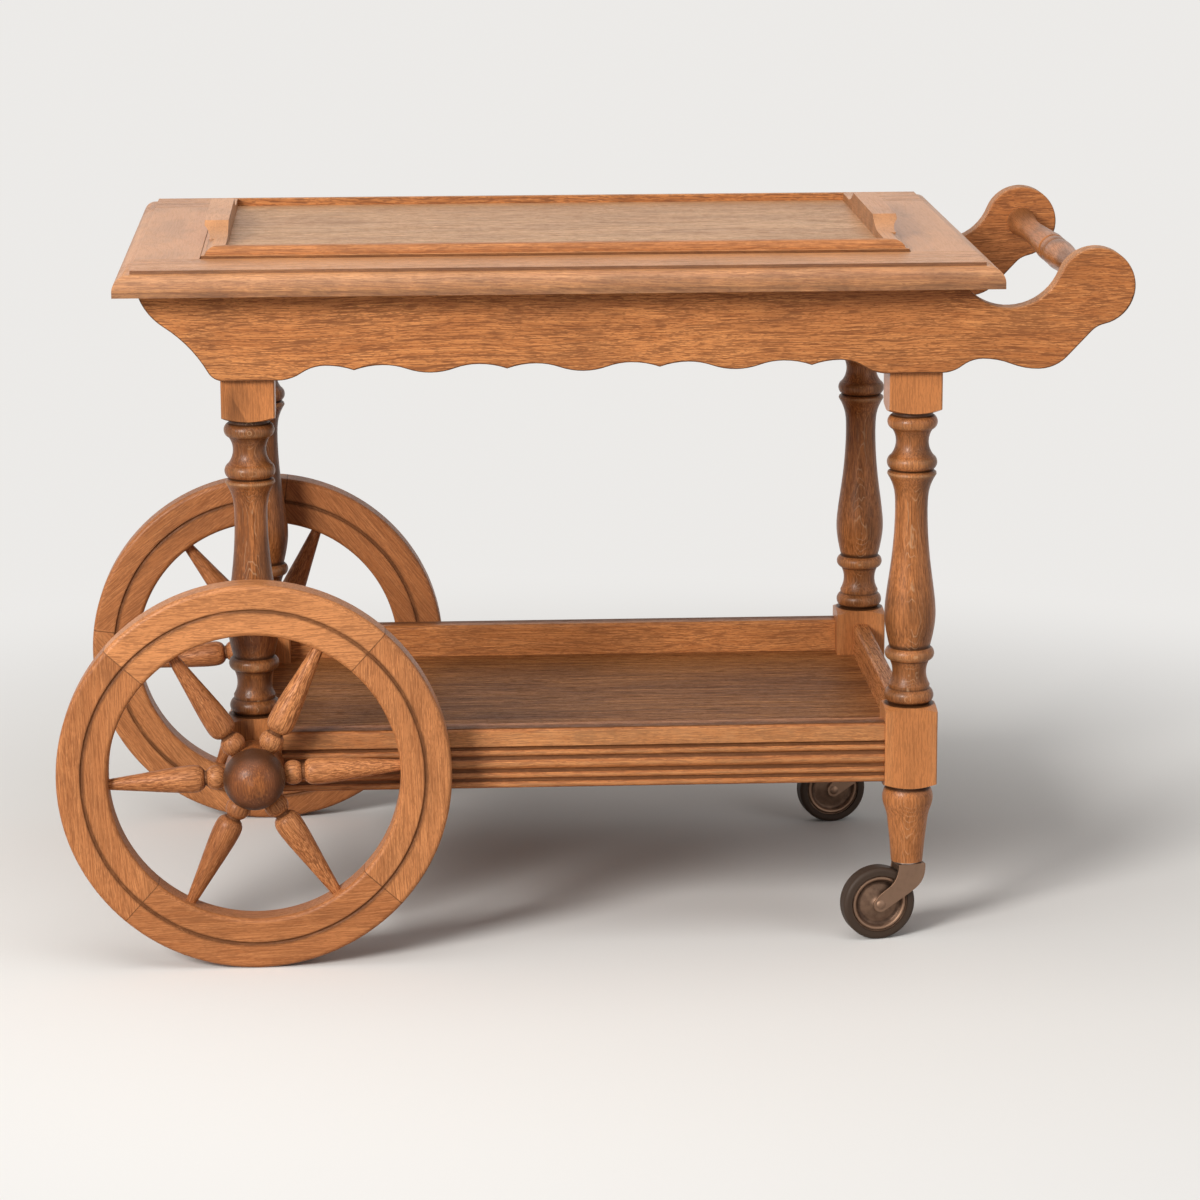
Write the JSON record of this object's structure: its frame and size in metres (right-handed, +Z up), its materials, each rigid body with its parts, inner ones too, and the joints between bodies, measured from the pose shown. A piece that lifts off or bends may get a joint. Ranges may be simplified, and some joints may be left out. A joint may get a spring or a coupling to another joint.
{
  "type": "serving trolley",
  "caption": "Oak serving trolley with two large spoked wheels, two swivel casters, turned legs and push handle, a lift-off tray in its top and a railed lower shelf.",
  "frame": {"origin": "middle of the bounding box, on the floor", "axes": "+X towards the push handle, +Z up, +Y to the back of the trolley, so the front is -Y"},
  "size_m": [0.9344, 0.5708, 0.633],
  "materials": {
    "oak_frame": "satin oiled oak",
    "oak_top": "satin oiled oak",
    "oak_turned": "satin stained oak",
    "oak_hub": "satin stained oak, dark",
    "oak_shelf": "satin stained oak",
    "oak_tray_floor": "satin oak veneer",
    "oak_hidden": "plain sawn oak",
    "steel": "zinc plated",
    "brass": "turned",
    "bronzed_steel": "bronzed, worn",
    "tyre": "matt black rubber"
  },
  "bodies": {
    "frame": {"side_rail_front": "oak_frame", "side_rail_back": "oak_frame", "cross_rail_wheel": "oak_hidden", "cross_rail_handle": "oak_hidden", "top_strip_front": "oak_top", "top_strip_back": "oak_top", "top_end_wheel": "oak_top", "top_end_handle": "oak_top", "tray_bearer_front": "oak_hidden", "tray_bearer_back": "oak_hidden", "tray_ledge": "oak_hidden", "glue_blocks": "oak_hidden", "batten_screws": "steel", "leg_wheel_front": "oak_turned", "leg_wheel_back": "oak_turned", "leg_caster_front": "oak_turned", "leg_caster_back": "oak_turned", "shelf_panel": "oak_shelf", "shelf_rail_front": "oak_frame", "shelf_rail_back": "oak_frame", "shelf_end_wheel": "oak_frame", "shelf_end_handle": "oak_frame", "handle_rod": "oak_turned", "axle_front": "steel", "axle_back": "steel", "axle_nuts": "steel", "axle_washers": "steel", "caster_socket_front": "steel", "caster_socket_back": "steel"},
    "tray": {"tray_floor": "oak_tray_floor", "tray_moulding_front": "oak_frame", "tray_moulding_back": "oak_frame", "tray_end_wheel": "oak_frame", "tray_end_handle": "oak_frame"},
    "cart_wheel_front": {"felloe_front_1": "oak_frame", "felloe_front_2": "oak_frame", "felloe_front_3": "oak_frame", "felloe_front_4": "oak_frame", "spokes_front": "oak_turned", "hub_front": "oak_hub", "hub_cap_front": "oak_hub", "bush_front": "brass"},
    "caster_fork_front": {"fork_front": "bronzed_steel", "stem_front": "steel", "rivet_front": "bronzed_steel"},
    "caster_wheel_front": {"caster_disc_front": "bronzed_steel", "tyre_front": "tyre"},
    "cart_wheel_back": {"felloe_back_1": "oak_frame", "felloe_back_2": "oak_frame", "felloe_back_3": "oak_frame", "felloe_back_4": "oak_frame", "spokes_back": "oak_turned", "hub_back": "oak_hub", "hub_cap_back": "oak_hub", "bush_back": "brass"},
    "caster_fork_back": {"fork_back": "bronzed_steel", "stem_back": "steel", "rivet_back": "bronzed_steel"},
    "caster_wheel_back": {"caster_disc_back": "bronzed_steel", "tyre_back": "tyre"}
  },
  "joints": [
    {"name": "tray_lift", "type": "slide", "parent": "frame", "child": "tray", "axis": [0, 0, 1], "range_m": [0, 0.12]},
    {"name": "cart_wheel_front_spin", "type": "hinge", "parent": "frame", "child": "cart_wheel_front", "pos_m": [-0.2962, -0.243, 0.171], "axis": [0, 1, 0], "continuous": true},
    {"name": "caster_front_swivel", "type": "hinge", "parent": "frame", "child": "caster_fork_front", "pos_m": [0.2798, -0.194, 0.07], "axis": [0, 0, 1], "continuous": true},
    {"name": "caster_front_roll", "type": "hinge", "parent": "caster_fork_front", "child": "caster_wheel_front", "pos_m": [0.2533, -0.19915, 0.033], "axis": [-0.1908, 0.9816, 0], "continuous": true},
    {"name": "cart_wheel_back_spin", "type": "hinge", "parent": "frame", "child": "cart_wheel_back", "pos_m": [-0.2962, 0.243, 0.171], "axis": [0, 1, 0], "continuous": true},
    {"name": "caster_back_swivel", "type": "hinge", "parent": "frame", "child": "caster_fork_back", "pos_m": [0.2798, 0.194, 0.07], "axis": [0, 0, 1], "continuous": true},
    {"name": "caster_back_roll", "type": "hinge", "parent": "caster_fork_back", "child": "caster_wheel_back", "pos_m": [0.2533, 0.18885, 0.033], "axis": [-0.1908, 0.9816, 0], "continuous": true}
  ]
}
